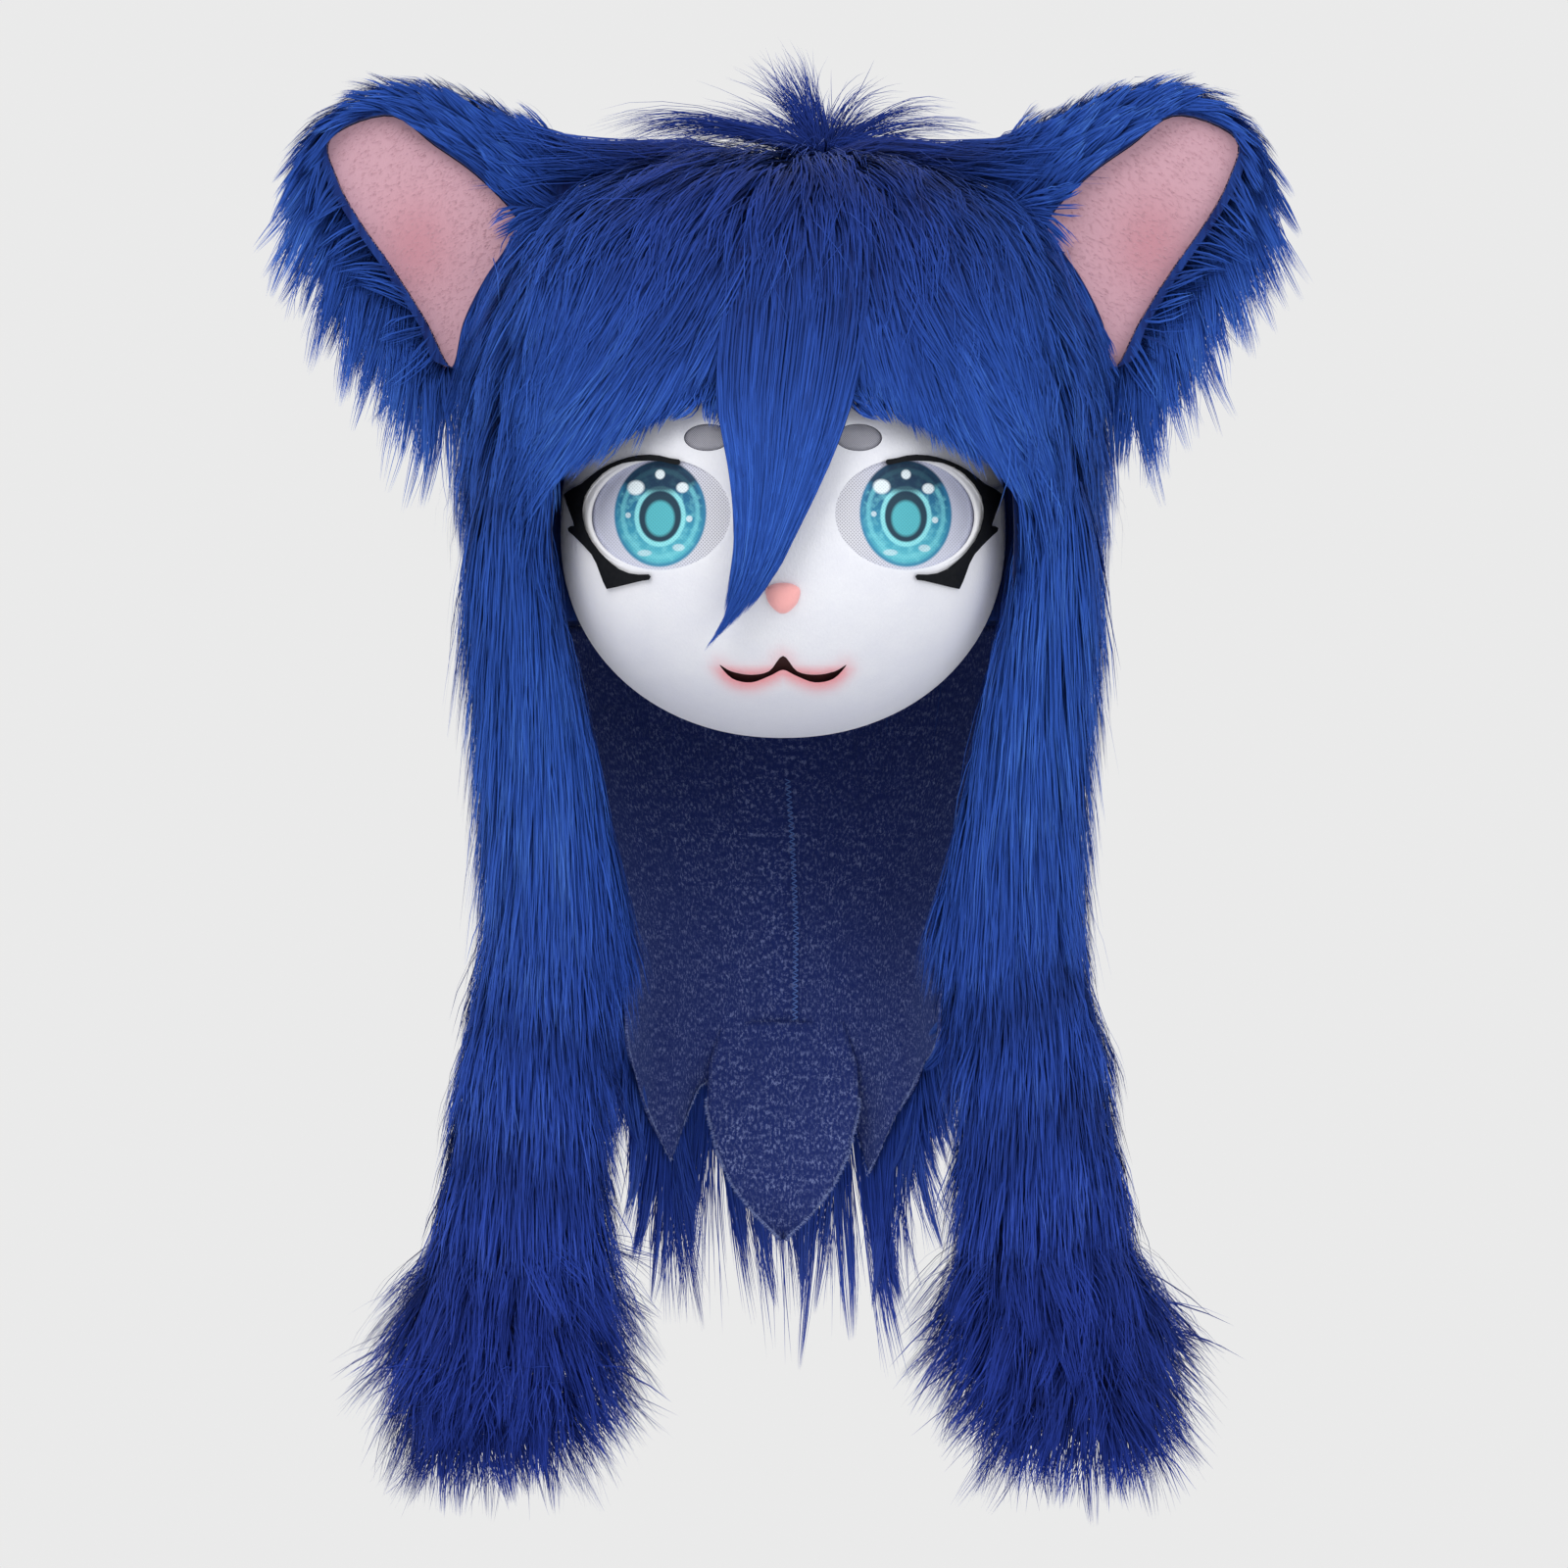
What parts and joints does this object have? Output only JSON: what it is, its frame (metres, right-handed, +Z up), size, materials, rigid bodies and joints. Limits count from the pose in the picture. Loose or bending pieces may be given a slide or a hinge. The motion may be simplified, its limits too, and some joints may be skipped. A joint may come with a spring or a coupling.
{
  "type": "fursuit head",
  "caption": "Hollow costume head with a white plush face mask, cat ears, deep blue fur, long fur lappets and a pointed cloth behind the neck.",
  "frame": {"origin": "inner crown of the hollow dome, where the head inside carries it", "axes": "+Z up, the face looks along -Y, +X to the right as seen from the front"},
  "size_m": [0.5196, 0.3247, 0.749],
  "materials": {
    "blue_fur": "long-pile royal blue faux fur",
    "white_plush": "short-pile white plush over a moulded shell",
    "pink_plush": "short-pile pink plush",
    "pink_nose": "fine pink flock",
    "black_liner": "matt black foam sheet",
    "eye_print": "printed see-through mesh",
    "grey_mesh": "grey see-through mesh",
    "dark_mesh": "dark mesh",
    "navy_knit": "heathered navy knit backing",
    "foam": "grey lining cloth over foam"
  },
  "bodies": {
    "root": {"hood_shell": "foam", "face_mask": "white_plush", "hood_fur": "blue_fur", "fringe": "blue_fur", "crown_tuft": "blue_fur", "ear_left": "blue_fur", "ear_right": "blue_fur", "ear_lining_left": "pink_plush", "ear_lining_right": "pink_plush", "lappet_left": "blue_fur", "lappet_right": "blue_fur", "nape_panel": "navy_knit", "nape_fur": "blue_fur", "eye_mesh_left": "eye_print", "eye_mesh_right": "eye_print", "lash_left": "black_liner", "lash_right": "black_liner", "brow_mesh_left": "grey_mesh", "brow_mesh_right": "grey_mesh", "nose": "pink_nose", "mouth_screen": "dark_mesh"}
  },
  "joints": []
}
